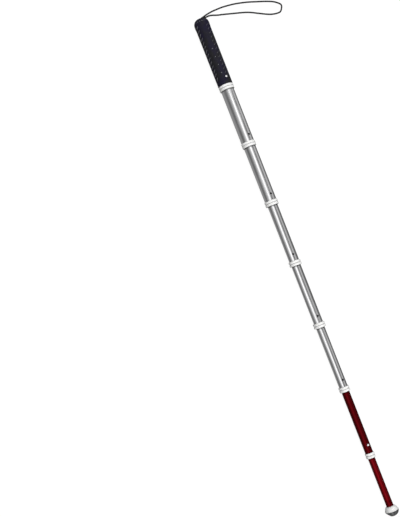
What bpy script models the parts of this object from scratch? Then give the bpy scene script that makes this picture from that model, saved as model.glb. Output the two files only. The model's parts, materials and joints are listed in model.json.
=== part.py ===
"""Telescopic white cane with eight sections, fully drawn out and lying on a surface.

The cane lies along +X: the handle's end is at -X and the tip at +X, with +Z up and the surface at Z = 0.
Each tube slides into the tube before it. A plastic plug in its upper end guides it there, and a sprung pin
in that plug snaps out through both tubes. A collar on each tube's lower end guides the next tube.
Sizes are in metres.
"""

import math

import bmesh
import bpy
import numpy as np
from mathutils import Vector

# Lengths along the cane. A pitch is the distance from one collar's upper end to the next one's
GRIP_LENGTH = 0.1680
COLLAR_LENGTH = 0.0117
PITCHES = (0.1424, 0.1450, 0.1472, 0.1501, 0.1531, 0.1562)
LAST_TUBE_SHOWN = 0.1132
TIP_LENGTH = 0.0226

# Radii: the tubes from the first section to the last, and the collars from the handle down
TUBE_RADII = (0.0152, 0.0139, 0.0117, 0.0108, 0.0099, 0.0090, 0.00800)
COLLAR_RADII = (0.0176, 0.0164, 0.0156, 0.0141, 0.0137, 0.0123, 0.0108)
TUBE_WALL = 0.0006
HANDLE_TUBE_WALL = 0.0005
GRIP_RADIUS = 0.0173
FLARE_RADIUS = 0.0184

# Clearances, and how round pieces are faceted
GAP = 0.0003
SIDES = 24
MERGE_DISTANCE = 0.00001
SHARP_ANGLE = math.radians(35)

# Grip: a rubber sleeve with a flared, domed upper end, and a funnel in the dome for the cord
GRIP_END_WALL = 0.0048
END_DOME_LENGTH = 0.014
END_DOME_STEPS = 5
FUNNEL_RADIUS = 0.0062
FUNNEL_LENGTH = 0.0036
FLARE_LENGTH = 0.0193
FLARE_EASE = 0.0075
FLARE_EASE_STEPS = 3
GRIP_MOUTH_CHAMFER = 0.0008

# Collars: two rounded bands with a groove between them, and a lip that guides the next tube
BAND_HEIGHT = 0.0011
GROOVE_WIDTH = 0.0006
GROOVE_WALL = 0.0004
LIP_LENGTH = 0.0012

# Locking pins, their plugs and springs. The first two lists run from the first section to the last: how far
# each pin stands before its collar, and how far round from the top it points
PINS_ABOVE_COLLARS = (0.0165, 0.0152, 0.0145, 0.0149, 0.0154, 0.0158, 0.0180)
PIN_ANGLES = (29, 33, 23, 12, 17, 20, 21)
BRIGHT_PINS = (1, 7)
PIN_RADIUS = 0.0023
PIN_PROUD = 0.0010
HANDLE_PIN_PROUD = 0.0004
PIN_DOME = 0.0007
PIN_DOME_EDGE = (0.8, 0.6)
PIN_SHOULDER_RADIUS = 0.0029
PIN_SHOULDER_LENGTH = 0.003
PIN_SIDES = 12
PLUG_DEPTH = 0.0071
FLANGE_THICKNESS = 0.0008
FINGER_HOLE_RADIUS = 0.0036
SPRING_LENGTH = 0.006
SPRING_WIRE = 0.0005
SPRING_TURNS = 3.5
POINTS_PER_TURN = 8

# Handle's end plug, the wrist cord and its knot
CORD_RADIUS = 0.0017
CORD_HOLE_RADIUS = 0.0040
END_PLUG_LENGTH = 0.0096
END_PLUG_WALL = 0.0018
END_PLUG_NOSE_RADIUS = 0.0100
END_PLUG_NOSE_LENGTH = 0.0040
KNOT_RADIUS = 0.0041
STRAND_SPACING = 0.0037
STRAND_LEAN = math.radians(52)
CORD_LIFT = 0.0001

# Tip: a flared body on a spigot, with a domed pad on its nose
TIP_NECK_RADIUS = 0.0096
TIP_RADIUS = 0.0157
TIP_BODY_LENGTH = 0.0102
TIP_RIM_LENGTH = 0.0014
TIP_SHOULDER = 0.0008
TIP_SWELL = ((0.14, 0.32), (0.40, 0.62), (0.68, 0.88))
SPIGOT_LENGTH = 0.014
SPIGOT_CHAMFER = 0.0006
NOSE_RADIUS = 0.0062
NOSE_LENGTH = 0.0055
PAD_INSET = 0.0002
WEAR_FACE_RADIUS = 0.0032
PAD_DOME_STEPS = 5

# Distances worked out from the sizes above
SECTIONS = len(TUBE_RADII)
RED_SECTIONS = 2
SHOWN = [pitch - COLLAR_LENGTH for pitch in PITCHES] + [LAST_TUBE_SHOWN]
PIN_BELOW_TUBE_END = PLUG_DEPTH / 2
OVERLAPS = [above + PIN_BELOW_TUBE_END for above in PINS_ABOVE_COLLARS]
COLLAR_STARTS = [GRIP_LENGTH + sum(PITCHES[:i]) for i in range(SECTIONS)]
TUBE_STARTS = [start - overlap for start, overlap in zip(COLLAR_STARTS, OVERLAPS)]
BARREL_END = COLLAR_LENGTH - LIP_LENGTH - GAP
TIP_START = COLLAR_STARTS[-1] + COLLAR_LENGTH + LAST_TUBE_SHOWN
CANE_LENGTH = TIP_START + TIP_LENGTH
AXIS_HEIGHT = FLARE_RADIUS * math.cos(math.pi / SIDES)
HANDLE_BORE = TUBE_RADII[0] + GAP
HANDLE_TUBE_RADIUS = HANDLE_BORE + HANDLE_TUBE_WALL
BORES = [HANDLE_BORE] + [radius - TUBE_WALL for radius in TUBE_RADII]
BARRELS = [HANDLE_TUBE_RADIUS] + list(TUBE_RADII)
PIN_HOLE_RADIUS = PIN_RADIUS + GAP
PIN_BORE_RADIUS = PIN_SHOULDER_RADIUS + GAP
SPRING_RADIUS = PIN_SHOULDER_RADIUS - SPRING_WIRE

# The wrist cord's route outside the handle: along the cane from the handle's end, sideways, and up from
# the surface. It leaves the funnel, comes down over the dome's edge to the surface, lies there in a long
# loop and comes back beside itself.
CORD_LAID = CORD_RADIUS + CORD_LIFT
CORD_ROUTE = (
    (0.0012, 0.0016, 0.0192),
    (-0.0008, 0.0036, 0.0181),
    (-0.0022, 0.0064, 0.0168),
    (-0.0030, 0.0100, 0.0148),
    (-0.0045, 0.0140, 0.0127),
    (-0.0072, 0.0182, 0.0105),
    (-0.0090, 0.0229, 0.0082),
    (-0.0108, 0.0285, 0.0060),
    (-0.0124, 0.0350, 0.0040),
    (-0.0133, 0.0424, 0.0025),
    (-0.0138, 0.0520, CORD_LAID),
    (-0.0137, 0.0631, CORD_LAID),
    (-0.0112, 0.0873, CORD_LAID),
    (-0.0072, 0.1066, CORD_LAID),
    (-0.0026, 0.1236, CORD_LAID),
    (0.0043, 0.1438, CORD_LAID),
    (0.0101, 0.1604, CORD_LAID),
    (0.0171, 0.1763, CORD_LAID),
    (0.0254, 0.1876, CORD_LAID),
    (0.0332, 0.1918, CORD_LAID),
    (0.0450, 0.1852, CORD_LAID),
    (0.0466, 0.1753, CORD_LAID),
    (0.0439, 0.1619, CORD_LAID),
    (0.0385, 0.1494, CORD_LAID),
    (0.0303, 0.1338, CORD_LAID),
    (0.0190, 0.1110, CORD_LAID),
    (0.0085, 0.0757, CORD_LAID),
    (0.0024, 0.0550, CORD_LAID),
    (0.0022, 0.0475, CORD_LAID),
    (-0.0012, 0.0405, CORD_LAID),
    (-0.0034, 0.0345, 0.0023),
    (-0.0045, 0.0295, 0.0035),
    (-0.0047, 0.0246, 0.0050),
    (-0.0040, 0.0200, 0.0067),
    (-0.0030, 0.0155, 0.0085),
    (-0.0024, 0.0115, 0.0104),
    (-0.0021, 0.0075, 0.0119),
    (-0.0019, 0.0040, 0.0134),
    (-0.0009, 0.0012, 0.0150),
    (0.0012, -0.0006, 0.0163),
)
SAMPLES_PER_SPAN = 2


def clear_scene():
    for obj in list(bpy.data.objects):
        bpy.data.objects.remove(obj, do_unlink=True)


def new_collection(name):
    collection = bpy.data.collections.new(name)
    bpy.context.scene.collection.children.link(collection)
    return collection


def material(name, color, roughness, metallic=0.0):
    made = bpy.data.materials.new(name)
    made.use_nodes = True
    shader = made.node_tree.nodes["Principled BSDF"]
    shader.inputs["Base Color"].default_value = (*color, 1.0)
    shader.inputs["Roughness"].default_value = roughness
    shader.inputs["Metallic"].default_value = metallic
    made.diffuse_color = (*color, 1.0)
    return made


def place(obj, parent, offset=0.0):
    """Puts the object in its parent's frame, moved by offset along the cane."""
    obj.parent = parent
    obj.location = (0.0, 0.0, offset)
    return obj


def empty(name, parent=None, offset=0.0):
    obj = bpy.data.objects.new(name, None)
    obj.empty_display_size = 0.01
    CANE.objects.link(obj)
    return place(obj, parent, offset)


def shade_round(mesh):
    mesh.shade_smooth()
    mesh.set_sharp_from_angle(angle=SHARP_ANGLE)


def turned(name, outline, look, parent, offset=0.0, closed=True, sides=SIDES):
    """A turned piece. The outline's points are (distance along the axis, radius).

    They run from the handle's side to the tip's side along the outside and, if closed, back along the bore.
    The facets are centred on the surface that the cane lies on.
    """
    half_step = math.pi / sides
    points = [
        (radius * math.cos(half_step), radius * math.sin(half_step), along)
        for along, radius in reversed(outline)
    ]
    last = len(points) - 1
    edges = [(i, i + 1) for i in range(last)]
    if closed:
        edges.append((last, 0))
    mesh = bpy.data.meshes.new(name)
    mesh.from_pydata(points, edges, [])
    mesh.materials.append(look)
    obj = bpy.data.objects.new(name, mesh)
    CANE.objects.link(obj)
    screw = obj.modifiers.new("turn", "SCREW")
    screw.axis = "Z"
    screw.steps = sides
    screw.render_steps = sides
    screw.use_merge_vertices = True
    screw.merge_threshold = MERGE_DISTANCE
    screw.use_smooth_shade = True
    return place(obj, parent, offset)


def band(start, end, base, top, steps=3):
    """Points of a rounded band from start to end, which rises from the base radius to the top radius."""
    middle = (start + end) / 2
    half = (end - start) / 2
    angles = [math.pi * i / steps for i in range(steps + 1)]
    rise = top - base
    return [(middle - half * math.cos(a), base + rise * math.sin(a) / math.sin(angles[1])) for a in angles]


def opening_dome(length, inner, outer, steps):
    """Points of a dome that starts at the inner radius and has opened to the outer radius at its length."""
    angles = np.linspace(0.0, math.pi / 2, steps + 1)
    return [(length * (1 - math.cos(a)), inner + (outer - inner) * math.sin(a)) for a in angles]


def round_cutter(name, parent, radius, start, end, sides=16):
    """A cylinder along its parent's axis, which cuts a hole and isn't part of the cane."""
    mesh = bpy.data.meshes.new(name)
    shape = bmesh.new()
    bmesh.ops.create_cone(
        shape, cap_ends=True, segments=sides, radius1=radius, radius2=radius, depth=end - start
    )
    bmesh.ops.translate(shape, verts=shape.verts, vec=(0.0, 0.0, (start + end) / 2))
    shape.to_mesh(mesh)
    shape.free()
    obj = bpy.data.objects.new(name, mesh)
    CUTTERS.objects.link(obj)
    obj.hide_render = True
    obj.display_type = "WIRE"
    return place(obj, parent)


def cut(obj, cutter):
    boolean = obj.modifiers.new("cut " + cutter.name, "BOOLEAN")
    boolean.operation = "DIFFERENCE"
    boolean.solver = "EXACT"
    boolean.object = cutter


def curve_piece(name, points, radius, look, resolution, parent=None):
    """A round wire or cord through the points, with closed ends."""
    curve = bpy.data.curves.new(name, "CURVE")
    curve.dimensions = "3D"
    curve.bevel_depth = radius
    curve.bevel_resolution = resolution
    curve.use_fill_caps = True
    curve.materials.append(look)
    spline = curve.splines.new("POLY")
    spline.points.add(len(points) - 1)
    for knot, point in zip(spline.points, points):
        knot.co = (*point, 1.0)
    obj = bpy.data.objects.new(name, curve)
    CANE.objects.link(obj)
    if parent is not None:
        place(obj, parent)
    return obj


def smooth_route(points, per_span):
    """Points on a Catmull-Rom curve through the route's own points."""
    route = [Vector(point) for point in points]
    before = route[0] * 2 - route[1]
    after = route[-1] * 2 - route[-2]
    route = [before] + route + [after]
    smooth = []
    for a, b, c, d in zip(route, route[1:], route[2:], route[3:]):
        for step in range(per_span):
            t = step / per_span
            bend = (2 * a - 5 * b + 4 * c - d) * t**2 + (3 * b - a - 3 * c + d) * t**3
            smooth.append((2 * b + (c - a) * t + bend) / 2)
    smooth.append(route[-2])
    return smooth


def seat_under(bore, half_width):
    """How far from the axis a flat seat of this half width can stand in a faceted bore, with its gap."""
    return math.sqrt((bore * math.cos(math.pi / SIDES)) ** 2 - half_width**2) - GAP


def tube(name, length, radius, wall, look, parent):
    bore = radius - wall
    outline = [(0.0, radius), (length, radius), (length, bore), (0.0, bore)]
    return turned(name, outline, look, parent)


def grip_outline():
    """The sleeve from its cord hole over the domed end and down to its mouth, then back up its bore."""
    bore = HANDLE_TUBE_RADIUS + GAP
    nose_bore = END_PLUG_NOSE_RADIUS + GAP
    step = GRIP_END_WALL + END_PLUG_NOSE_LENGTH
    mouth = GRIP_LENGTH - GAP
    outside = [(FUNNEL_LENGTH, CORD_HOLE_RADIUS)]
    outside += opening_dome(END_DOME_LENGTH, FUNNEL_RADIUS, FLARE_RADIUS, END_DOME_STEPS)
    for i in range(FLARE_EASE_STEPS + 1):
        eased = i / FLARE_EASE_STEPS
        share = (1 + math.cos(math.pi * eased)) / 2
        outside.append((FLARE_LENGTH + FLARE_EASE * eased, GRIP_RADIUS + (FLARE_RADIUS - GRIP_RADIUS) * share))
    outside += [(mouth - GRIP_MOUTH_CHAMFER, GRIP_RADIUS), (mouth, GRIP_RADIUS - GRIP_MOUTH_CHAMFER / 2)]
    inside = [(mouth, bore), (step, bore), (step, nose_bore), (GRIP_END_WALL, nose_bore)]
    return outside + inside + [(GRIP_END_WALL, CORD_HOLE_RADIUS)]


def make_handle(body):
    grip = turned("grip_sleeve", grip_outline(), RUBBER, body)
    plug_start = GRIP_END_WALL + GAP
    barrel_start = plug_start + END_PLUG_NOSE_LENGTH
    barrel_end = GRIP_LENGTH + BARREL_END
    barrel_home = empty("handle_tube_home", body, barrel_start)
    barrel_length = barrel_end - barrel_start
    barrel = tube("handle_tube", barrel_length, HANDLE_TUBE_RADIUS, HANDLE_TUBE_WALL, ALUMINIUM, barrel_home)
    plug_radius = HANDLE_BORE - GAP
    recess_radius = KNOT_RADIUS + 2 * GAP
    plug_outline = [
        (0.0, CORD_HOLE_RADIUS),
        (0.0, END_PLUG_NOSE_RADIUS),
        (END_PLUG_NOSE_LENGTH, END_PLUG_NOSE_RADIUS),
        (END_PLUG_NOSE_LENGTH, plug_radius),
        (END_PLUG_LENGTH, plug_radius),
        (END_PLUG_LENGTH, recess_radius),
        (END_PLUG_WALL, recess_radius),
        (END_PLUG_WALL, CORD_HOLE_RADIUS),
    ]
    turned("handle_end_plug", plug_outline, DARK_PLASTIC, body, plug_start)
    return grip, barrel


def make_cord(body):
    """The loop, from the knot out through the handle's end, round on the surface and back in."""
    knot_center = GRIP_END_WALL + GAP + END_PLUG_WALL + GAP + KNOT_RADIUS
    lean = Vector((0.0, math.cos(STRAND_LEAN), math.sin(STRAND_LEAN))) * STRAND_SPACING / 2
    hole = Vector((0.0, 0.0, AXIS_HEIGHT))
    inside = knot_center - KNOT_RADIUS - GAP
    straight = (inside, (inside + FUNNEL_LENGTH) / 2, FUNNEL_LENGTH)
    first = [hole + lean + Vector((along, 0.0, 0.0)) for along in straight]
    last = [hole - lean + Vector((along, 0.0, 0.0)) for along in reversed(straight)]
    route = smooth_route(first + list(CORD_ROUTE) + last, SAMPLES_PER_SPAN)
    end = Vector((-CANE_LENGTH / 2, 0.0, 0.0))
    curve_piece("wrist_cord", [end + point for point in route], CORD_RADIUS, CORD_LOOK, 2)
    length = sum((b - a).length for a, b in zip(route, route[1:]))
    print(f"wrist cord length {length:.4f} m, {len(route)} points")
    mesh = bpy.data.meshes.new("cord_knot")
    ball = bmesh.new()
    bmesh.ops.create_uvsphere(ball, u_segments=12, v_segments=8, radius=KNOT_RADIUS)
    ball.to_mesh(mesh)
    ball.free()
    mesh.materials.append(CORD_LOOK)
    shade_round(mesh)
    knot = bpy.data.objects.new("cord_knot", mesh)
    CANE.objects.link(knot)
    place(knot, body, knot_center)


def make_collar(number, body, offset):
    """The collar on the lower end of barrel number - 1, which guides tube number."""
    top = COLLAR_RADII[number - 1]
    barrel_bore = BARRELS[number - 1] + GAP
    base = max(top - BAND_HEIGHT, barrel_bore + GROOVE_WALL)
    lip_bore = BARRELS[number] + GAP
    half = (COLLAR_LENGTH - GROOVE_WIDTH) / 2
    upper = band(0.0, half, base, top)
    lower = band(half + GROOVE_WIDTH, COLLAR_LENGTH, base, top)
    step = COLLAR_LENGTH - LIP_LENGTH
    inside = [(COLLAR_LENGTH, lip_bore), (step, lip_bore), (step, barrel_bore), (0.0, barrel_bore)]
    return turned(f"collar_{number}", upper + lower + inside, WHITE_PLASTIC, body, offset)


def make_pin(number, press, top, shoulder_top):
    """The stepped pin. It points outwards along its parent's axis, and its shoulder stays inside the tube."""
    outline = [
        (shoulder_top - PIN_SHOULDER_LENGTH, 0.0),
        (shoulder_top - PIN_SHOULDER_LENGTH, PIN_SHOULDER_RADIUS),
        (shoulder_top, PIN_SHOULDER_RADIUS),
        (shoulder_top, PIN_RADIUS),
        (top - PIN_DOME, PIN_RADIUS),
        (top - PIN_DOME * (1 - PIN_DOME_EDGE[0]), PIN_RADIUS * PIN_DOME_EDGE[1]),
        (top, 0.0),
    ]
    look = STEEL if number in BRIGHT_PINS else DARK_STEEL
    turned(f"lock_button_{number}", outline, look, press, closed=False, sides=PIN_SIDES)


def make_spring(number, press, top):
    """The coil under the pin, with its turns computed from its length."""
    start = top - SPRING_LENGTH + SPRING_WIRE / 2
    rise = SPRING_LENGTH - SPRING_WIRE
    count = int(SPRING_TURNS * POINTS_PER_TURN)
    points = []
    for i in range(count + 1):
        angle = 2 * math.pi * i / POINTS_PER_TURN
        height = start + rise * i / count
        points.append((SPRING_RADIUS * math.cos(angle), SPRING_RADIUS * math.sin(angle), height))
    curve_piece(f"button_spring_{number}", points, SPRING_WIRE / 2, STEEL, 1, press)


def make_plug(number, body, cutter):
    """The guide plug in tube number's upper end, with a flange that slides in the barrel outside it."""
    radius = BORES[number] - GAP
    flange = BORES[number - 1] - GAP
    outline = [
        (-GAP - FLANGE_THICKNESS, 0.0),
        (-GAP - FLANGE_THICKNESS, flange),
        (-GAP, flange),
        (-GAP, radius),
        (PLUG_DEPTH, radius),
        (PLUG_DEPTH, 0.0),
    ]
    plug = turned(f"guide_plug_{number}", outline, DARK_PLASTIC, body, closed=False)
    cut(plug, cutter)


def make_section(number, handle, outer):
    """Section number with its tube, plug, pin and spring. outer lists what its pin goes out through."""
    body = empty(f"section_{number}", handle, TUBE_STARTS[number - 1])
    following = COLLAR_STARTS[number] + BARREL_END if number < SECTIONS else TIP_START - GAP
    length = following - TUBE_STARTS[number - 1]
    look = RED_ALUMINIUM if number > SECTIONS - RED_SECTIONS else ALUMINIUM
    barrel = tube(f"tube_{number}", length, TUBE_RADII[number - 1], TUBE_WALL, look, body)

    press = empty(f"press_{number}", body, PIN_BELOW_TUBE_END)
    press.rotation_euler = (0.0, -math.pi / 2, -math.radians(PIN_ANGLES[number - 1]))
    outer_surface = GRIP_RADIUS if number == 1 else TUBE_RADII[number - 2]
    proud = HANDLE_PIN_PROUD if number == 1 else PIN_PROUD
    shoulder_top = seat_under(BORES[number], PIN_SHOULDER_RADIUS)
    spring_top = shoulder_top - PIN_SHOULDER_LENGTH - GAP
    bore_floor = spring_top - SPRING_LENGTH - GAP
    reach = GRIP_RADIUS + FINGER_HOLE_RADIUS
    hole = round_cutter(f"pin_hole_{number}", press, PIN_HOLE_RADIUS, shoulder_top - GAP, reach)
    bore = round_cutter(f"pin_bore_{number}", press, PIN_BORE_RADIUS, bore_floor, reach)
    cut(barrel, hole)
    for piece in outer:
        cut(piece, hole)
    make_plug(number, body, bore)
    make_pin(number, press, outer_surface + proud, shoulder_top)
    make_spring(number, press, spring_top)
    return body, barrel


def make_tip(body):
    """The tip on the last tube: a flared body on a spigot, and a domed pad that ends in a flat wear face."""
    home = empty("tip_home", body, TIP_START - TUBE_STARTS[-1])
    spigot = BORES[-1] - GAP
    rise = TIP_RADIUS - TIP_SHOULDER - TIP_NECK_RADIUS
    body_outline = [
        (-SPIGOT_LENGTH, 0.0),
        (-SPIGOT_LENGTH, spigot - SPIGOT_CHAMFER),
        (-SPIGOT_LENGTH + SPIGOT_CHAMFER, spigot),
        (0.0, spigot),
        (0.0, TIP_NECK_RADIUS),
    ]
    body_outline += [(TIP_BODY_LENGTH * share, TIP_NECK_RADIUS + rise * swell) for share, swell in TIP_SWELL]
    body_outline += [
        (TIP_BODY_LENGTH - TIP_RIM_LENGTH, TIP_RADIUS),
        (TIP_BODY_LENGTH, TIP_RADIUS),
        (TIP_BODY_LENGTH, NOSE_RADIUS),
        (TIP_BODY_LENGTH + NOSE_LENGTH, NOSE_RADIUS),
        (TIP_BODY_LENGTH + NOSE_LENGTH, 0.0),
    ]
    turned("tip_body", body_outline, WHITE_PLASTIC, home, closed=False)

    start = TIP_BODY_LENGTH + GAP
    height = TIP_LENGTH - start
    wide = TIP_RADIUS - PAD_INSET
    angles = np.linspace(0.0, math.acos(WEAR_FACE_RADIUS / wide), PAD_DOME_STEPS + 1)
    flatness = height / math.sin(angles[-1])
    dome = [(start + flatness * math.sin(a), wide * math.cos(a)) for a in angles]
    recess_depth = TIP_BODY_LENGTH + NOSE_LENGTH + GAP
    recess = [(start, NOSE_RADIUS + GAP), (recess_depth, NOSE_RADIUS + GAP), (recess_depth, 0.0)]
    pad_outline = list(reversed(recess)) + dome + [(TIP_LENGTH, 0.0)]
    turned("tip_pad", pad_outline, GLIDE, home, closed=False)


clear_scene()
CANE = new_collection("Telescopic cane")
CUTTERS = new_collection("Cutters")
RUBBER = material("grip rubber", (0.02, 0.019, 0.03), 0.6)
ALUMINIUM = material("bright aluminium", (0.75, 0.75, 0.76), 0.2, 1.0)
RED_ALUMINIUM = material("red tube", (0.2, 0.004, 0.01), 0.25, 0.3)
WHITE_PLASTIC = material("white plastic", (0.86, 0.86, 0.85), 0.35)
DARK_PLASTIC = material("dark plastic", (0.03, 0.03, 0.035), 0.45)
STEEL = material("bright steel", (0.6, 0.6, 0.62), 0.25, 1.0)
DARK_STEEL = material("dark steel", (0.12, 0.12, 0.13), 0.35, 1.0)
CORD_LOOK = material("braided cord", (0.02, 0.02, 0.022), 0.8)
GLIDE = material("tip pad", (0.03, 0.03, 0.03), 0.3)

cane = empty("cane_axis")
cane.location = (-CANE_LENGTH / 2, 0.0, AXIS_HEIGHT)
cane.rotation_euler = (0.0, math.pi / 2, 0.0)

grip_sleeve, outer_barrel = make_handle(cane)
make_cord(cane)
make_collar(1, cane, COLLAR_STARTS[0])
through = [grip_sleeve, outer_barrel]
for section_number in range(1, SECTIONS + 1):
    section, own_barrel = make_section(section_number, cane, through)
    if section_number < SECTIONS:
        along = COLLAR_STARTS[section_number] - TUBE_STARTS[section_number - 1]
        make_collar(section_number + 1, section, along)
    else:
        make_tip(section)
    through = [own_barrel]
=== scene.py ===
"""Looks of the telescopic white cane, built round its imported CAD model.

The cane lies along X with its handle at -X. A turned piece is an outline of (distance, radius) pairs,
measured from the handle's end, that is spun about the cane's axis. Sizes are in metres.
"""

import json
import math

import bmesh
import bpy
from bpy.props import FloatProperty, FloatVectorProperty, IntProperty, PointerProperty
from mathutils import Matrix, Vector

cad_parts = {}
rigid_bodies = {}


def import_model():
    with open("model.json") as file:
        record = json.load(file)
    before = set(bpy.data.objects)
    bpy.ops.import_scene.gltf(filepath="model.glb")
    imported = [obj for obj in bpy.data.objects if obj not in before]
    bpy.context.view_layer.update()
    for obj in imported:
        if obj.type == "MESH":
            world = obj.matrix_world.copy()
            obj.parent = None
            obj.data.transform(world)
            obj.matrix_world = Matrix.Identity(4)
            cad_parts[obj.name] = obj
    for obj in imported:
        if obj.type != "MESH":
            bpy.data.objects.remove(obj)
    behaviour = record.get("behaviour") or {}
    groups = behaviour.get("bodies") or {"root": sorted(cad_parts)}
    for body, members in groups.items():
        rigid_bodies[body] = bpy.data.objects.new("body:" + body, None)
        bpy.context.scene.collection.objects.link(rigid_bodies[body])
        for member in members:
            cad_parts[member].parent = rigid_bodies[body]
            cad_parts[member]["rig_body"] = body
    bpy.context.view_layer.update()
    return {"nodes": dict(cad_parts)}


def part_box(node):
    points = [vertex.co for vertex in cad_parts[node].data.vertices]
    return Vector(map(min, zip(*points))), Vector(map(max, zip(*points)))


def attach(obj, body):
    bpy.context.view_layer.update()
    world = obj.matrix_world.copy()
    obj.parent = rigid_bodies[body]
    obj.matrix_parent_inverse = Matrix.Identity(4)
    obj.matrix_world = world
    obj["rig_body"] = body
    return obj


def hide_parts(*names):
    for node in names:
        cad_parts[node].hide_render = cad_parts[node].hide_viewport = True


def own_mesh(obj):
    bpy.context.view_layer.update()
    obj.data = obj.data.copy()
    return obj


bl_info = {
    "name": "Telescopic White Cane",
    "version": (1, 0, 0),
    "blender": (4, 5, 0),
    "location": "3D Viewport > Sidebar > Cane",
    "description": "Builds the visible pieces of a telescopic white cane round its packed model",
    "category": "Object",
}

for startup_object in list(bpy.data.objects):
    bpy.data.objects.remove(startup_object, do_unlink=True)
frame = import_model()

SECTIONS = 7
CAD_SIDES = 24
# The handle's pin and the last tube's pin get a whitish finish as a painted highlight, the other pins a dark
# finish as painted shade
PAINTED_GLINT_PINS = (1, 7)

MICRON = 0.000001

# Room between pieces that fit into each other, the usual rounding of an edge and a finer one, and how close
# two corners are when they become one
GAP = 0.0003
EDGE = 0.0003
FINE_EDGE = 0.0002
MERGE_DISTANCE = 2 * MICRON

END_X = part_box("grip_sleeve")[0].x
AXIS_HEIGHT = (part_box("tube_1")[0].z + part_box("tube_1")[1].z) / 2
AXIS = Vector((0.0, 0.0, AXIS_HEIGHT))


def ends_of(node):
    """Where a node starts and ends along the cane, from the handle's end."""
    low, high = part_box(node)
    return low.x - END_X, high.x - END_X


def radius_of(node):
    """The radius of a turned node over the corners of its facets."""
    low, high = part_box(node)
    return (high.y - low.y) / 2 / math.cos(math.pi / CAD_SIDES)


def a_length(name, description, default):
    return FloatProperty(name=name, description=description, unit="LENGTH", default=default)


def an_angle(name, description, degrees):
    return FloatProperty(name=name, description=description, subtype="ANGLE", default=math.radians(degrees))


def a_share(name, description, default):
    return FloatProperty(name=name, description=description, default=default, min=0.0, max=1.0)


def an_amount(name, description, default):
    return FloatProperty(name=name, description=description, default=default)


def a_count(name, description, default, least=0):
    return IntProperty(name=name, description=description, default=default, min=least)


def a_colour(name, description, default):
    return FloatVectorProperty(name=name, description=description, subtype="COLOR", size=3, default=default)


# Sizes that a user would change


class CaneGripSettings(bpy.types.PropertyGroup):
    colour: a_colour("Rubber", "Colour of the rubber", (0.0077, 0.0062, 0.0200))
    dome_length: a_length("Dome", "Length of the closed end's rounding", 0.014)
    funnel_radius: a_length("Funnel", "Radius of the funnel that the cord comes out of", 0.0062)
    funnel_length: a_length("Funnel depth", "Depth of that funnel", 0.0036)
    hole_radius: a_length("Cord hole", "Radius of the hole at the funnel's foot", 0.0040)
    end_wall: a_length("End wall", "Thickness of the closed end at the hole", 0.0048)
    nose_bore: a_length("Nose bore", "Radius of the bore round the end plug's nose", 0.0103)
    flare_length: a_length("Flare", "Length of the thicker upper end", 0.0193)
    flare_ease: a_length("Flare ease", "Length over which the flare narrows", 0.0075)
    body_radius: a_length("Radius", "Radius of the sleeve below its flare", 0.0177)
    pattern_start: a_length("Pattern start", "Where the moulded pattern starts", 0.0173)
    columns: a_count("Columns", "Facets round the unsmoothed sleeve", 40, 8)
    slot_repeat: a_count("Slot repeat", "Columns from one slot to the next", 10)
    slot_column: a_count("Slot column", "Column in which a slot starts", 4)
    dot_column: a_count("Dot column", "Column that holds the dots", 9)
    plain_rows: a_count("Rows without dots", "Rows before the first dot", 20)
    slot_rows: a_count("Slot rows", "Rows that one slanted slot crosses", 3)
    pattern_turn: an_angle("Pattern turn", "Turn of the whole pattern", 6.4)
    row_length: a_length("Row", "Length of one row of facets", 0.00248)
    slot_margin: a_length("Slot margin", "Rubber left beside a slot in its column", 0.0003)
    slot_depth: a_length("Slot depth", "Depth of the moulded slots", 0.0004)
    wall_from_tube: a_length("Bore gap", "Room between the sleeve and the tube inside it", 0.0003)


class CaneTubeSettings(bpy.types.PropertyGroup):
    silver: a_colour("Silver", "Colour of the bright tubes", (0.86, 0.86, 0.87))
    # The last two tubes share one red paint: the last tube's red is painted lighter and the one before it
    # darker, as painted light and shade
    red: a_colour("Red", "Colour of the last tube", (0.235, 0.0045, 0.0085))
    deep_red: a_colour("Deep red", "Colour of the tube before it", (0.140, 0.0035, 0.0060))
    silver_roughness: a_share("Silver roughness", "Roughness of the bright tubes", 0.12)
    red_roughness: a_share("Red roughness", "Roughness of the red tubes", 0.42)
    sides: a_count("Sides", "Facets round a tube", 96, 12)
    wall: a_length("Wall", "Thickness of a tube's wall", 0.0006)
    handle_wall: a_length("Handle wall", "Thickness of the tube in the handle", 0.0005)
    # Length of the ring of painted shade on a tube beside each collar
    collar_shade_length: a_length("Wear", "Length of the dull ring beside a collar", 0.0034)
    edge: a_length("Edge", "Rounding of the ends and of the pin holes", 0.00012)
    hole_radius: a_length("Pin hole", "Radius of a pin hole", 0.0026)


class CaneCollarSettings(bpy.types.PropertyGroup):
    colour: a_colour("Nylon", "Colour of collars and tip", (0.80, 0.80, 0.79))
    band_height: a_length("Band height", "Height of the rounded bands", 0.0011)
    groove: a_length("Groove", "Width of the groove between the bands", 0.0012)
    groove_wall: a_length("Groove wall", "Least thickness under the groove", 0.0004)
    lip: a_length("Lip", "Length of the lip that guides the next tube", 0.0012)
    sides: a_count("Sides", "Facets round a collar", 96, 12)


class CanePinSettings(bpy.types.PropertyGroup):
    # The bright pins' whitish colour is a painted highlight, and the dark pins' colour is painted shade
    colour: a_colour("Steel", "Colour of the bright pins", (0.93, 0.93, 0.94))
    painted_shade_colour: a_colour("Dark steel", "Colour of the dark pins", (0.06, 0.06, 0.063))
    radius: a_length("Radius", "Radius of a pin", 0.0023)
    shoulder_radius: a_length("Shoulder", "Radius of the shoulder inside the tube", 0.0029)
    shoulder_length: a_length("Shoulder length", "Length of the shoulder", 0.003)
    dome: a_length("Dome", "Height of a pin's domed end", 0.0007)
    sides: a_count("Sides", "Facets round a pin", 40, 8)
    travel: a_length("Travel", "How far a pin goes in", 0.0019)
    handle_travel: a_length("Handle travel", "How far the handle's pin goes in", 0.0025)
    wire: a_length("Wire", "Thickness of a spring's wire", 0.0005)
    wire_sides: a_count("Wire sides", "Facets round the wire", 12, 6)
    turns: an_amount("Turns", "Turns of a spring", 3.5)
    turn_steps: a_count("Turn steps", "Steps in one turn of a spring", 32, 8)


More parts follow.
